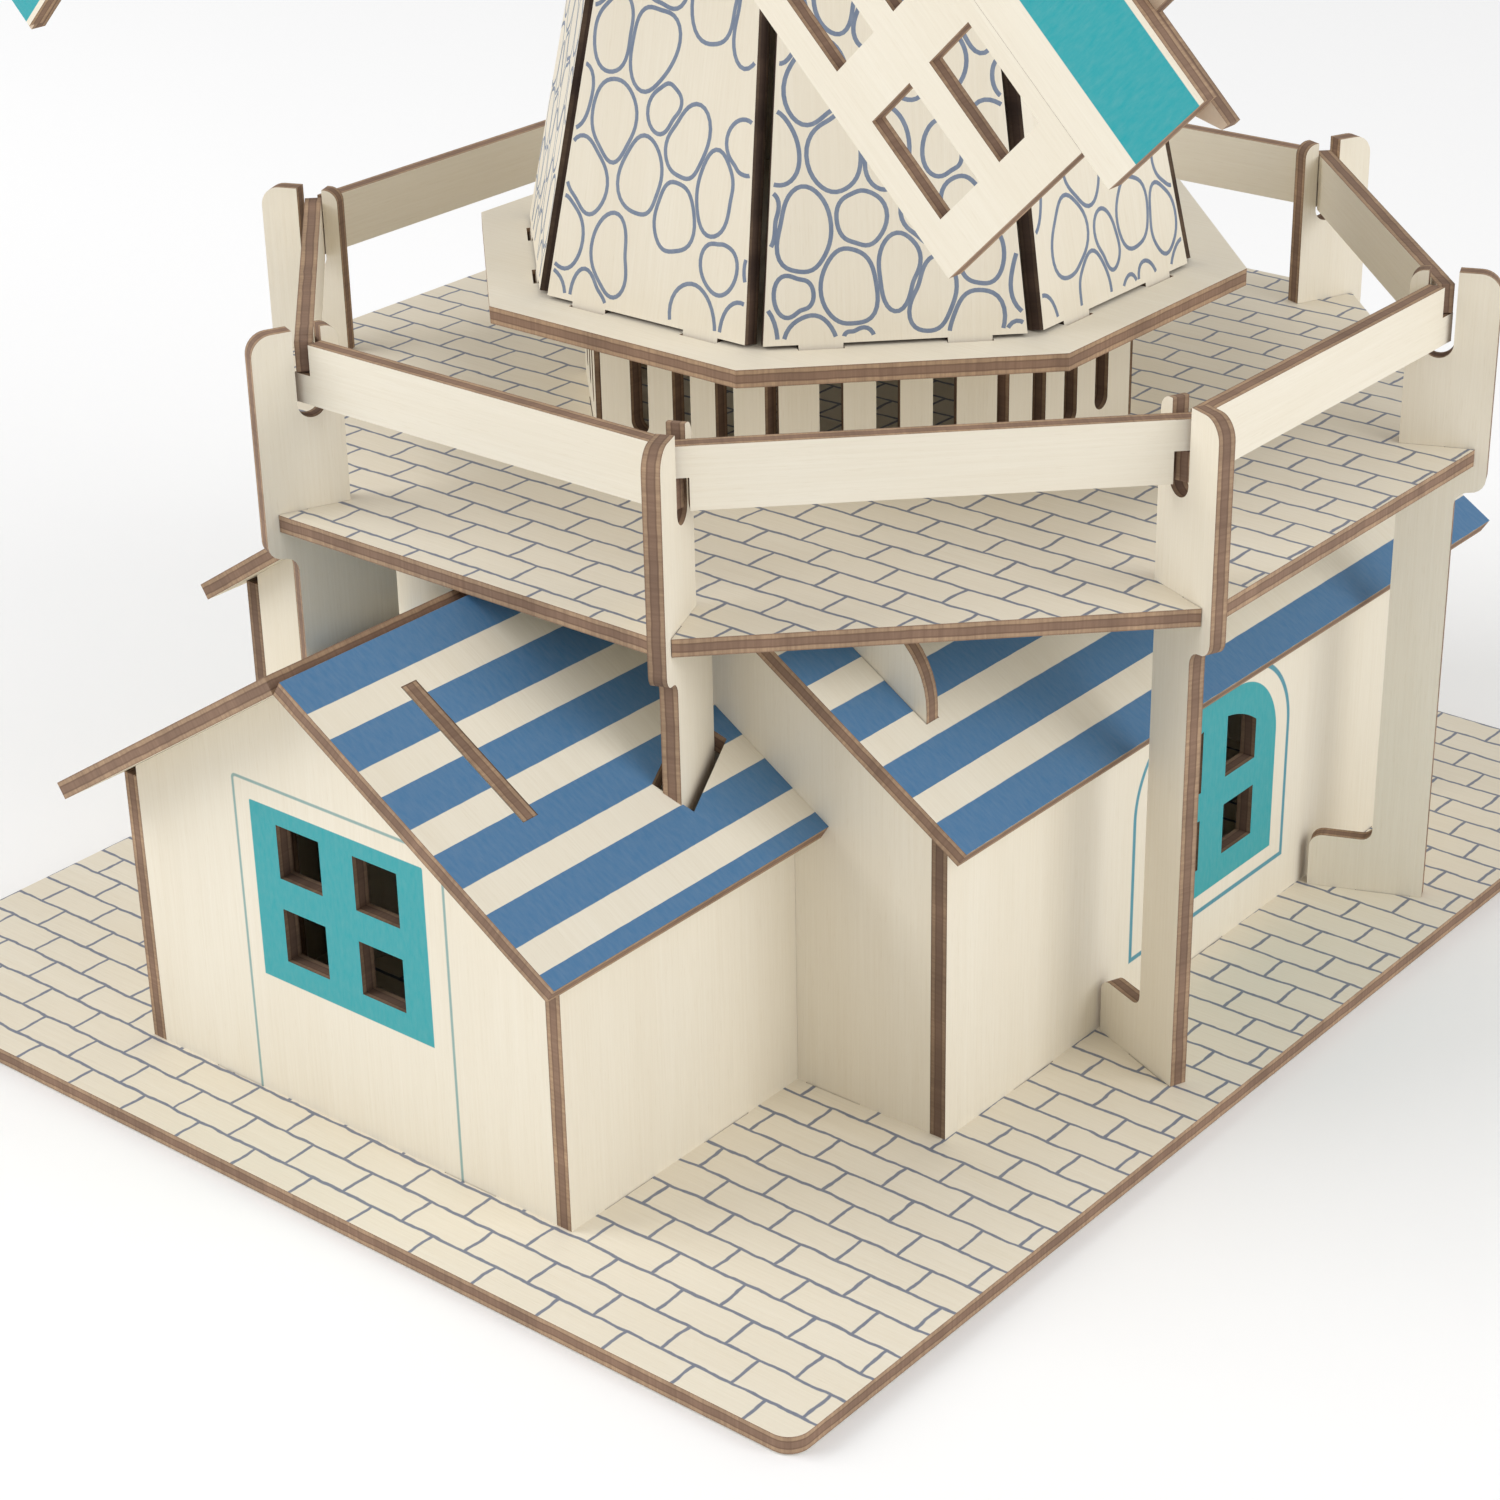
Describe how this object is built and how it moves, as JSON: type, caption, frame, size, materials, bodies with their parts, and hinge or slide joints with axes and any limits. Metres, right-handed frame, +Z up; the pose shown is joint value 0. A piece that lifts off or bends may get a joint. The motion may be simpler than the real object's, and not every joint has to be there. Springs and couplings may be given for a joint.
{
  "type": "wooden windmill jigsaw model",
  "caption": "Laser-cut plywood puzzle windmill: printed houses under an octagonal railed deck, a tapering tower and lattice sails that turn on a dowel.",
  "frame": {"origin": "on the tower's axis, at the underside of the base plate", "axes": "+Z up along the tower, -Y towards the sails and the small front house, +X to the right when seen from the front"},
  "size_m": [0.2232, 0.219, 0.3501],
  "materials": {
    "birch_ply": "satin",
    "brick_print_ply": "satin",
    "stone_print_ply": "satin",
    "window_print_ply": "satin",
    "blue_striped_ply": "satin",
    "teal_print_ply": "satin",
    "beech_dowel": "satin"
  },
  "bodies": {
    "mill": {"base_plate": "brick_print_ply", "annex_gable": "window_print_ply", "annex_wall_left": "birch_ply", "annex_wall_right": "birch_ply", "annex_frame": "birch_ply", "annex_roof_left": "blue_striped_ply", "annex_roof_right": "blue_striped_ply", "house_gable_front": "birch_ply", "house_gable_back": "window_print_ply", "house_wall_left": "window_print_ply", "house_wall_right": "window_print_ply", "house_frame": "birch_ply", "house_roof_left": "blue_striped_ply", "house_roof_right": "blue_striped_ply", "deck_plate": "brick_print_ply", "post_1": "birch_ply", "post_2": "birch_ply", "post_3": "birch_ply", "post_4": "birch_ply", "post_5": "birch_ply", "post_6": "birch_ply", "post_7": "birch_ply", "post_8": "birch_ply", "rail_1": "birch_ply", "rail_2": "birch_ply", "rail_3": "birch_ply", "rail_4": "birch_ply", "rail_5": "birch_ply", "rail_6": "birch_ply", "rail_7": "birch_ply", "rail_8": "birch_ply", "drum_side_panels": "birch_ply", "drum_corner_panels": "birch_ply", "collar_plate": "birch_ply", "tower_panel_1": "stone_print_ply", "tower_panel_2": "stone_print_ply", "tower_panel_3": "stone_print_ply", "tower_panel_4": "stone_print_ply", "tower_panel_5": "stone_print_ply", "tower_panel_6": "stone_print_ply", "tower_panel_7": "stone_print_ply", "tower_panel_8": "stone_print_ply", "cap_floor": "birch_ply", "cap_gable_front": "birch_ply", "cap_gable_back": "birch_ply", "cap_roof_left": "blue_striped_ply", "cap_roof_right": "blue_striped_ply"},
    "sails": {"sail_lattice_1": "birch_ply", "sail_lattice_2": "birch_ply", "sail_lattice_3": "birch_ply", "sail_lattice_4": "birch_ply", "sail_board_1": "teal_print_ply", "sail_board_2": "teal_print_ply", "sail_board_3": "teal_print_ply", "sail_board_4": "teal_print_ply", "sail_back_strips": "birch_ply", "hub_plate": "birch_ply", "hub_cap": "birch_ply", "axle": "beech_dowel", "axle_stop": "birch_ply"}
  },
  "joints": [
    {"name": "sail_spin", "type": "hinge", "parent": "mill", "child": "sails", "pos_m": [0, -0.075, 0.2385], "axis": [0, 1, 0], "continuous": true}
  ]
}
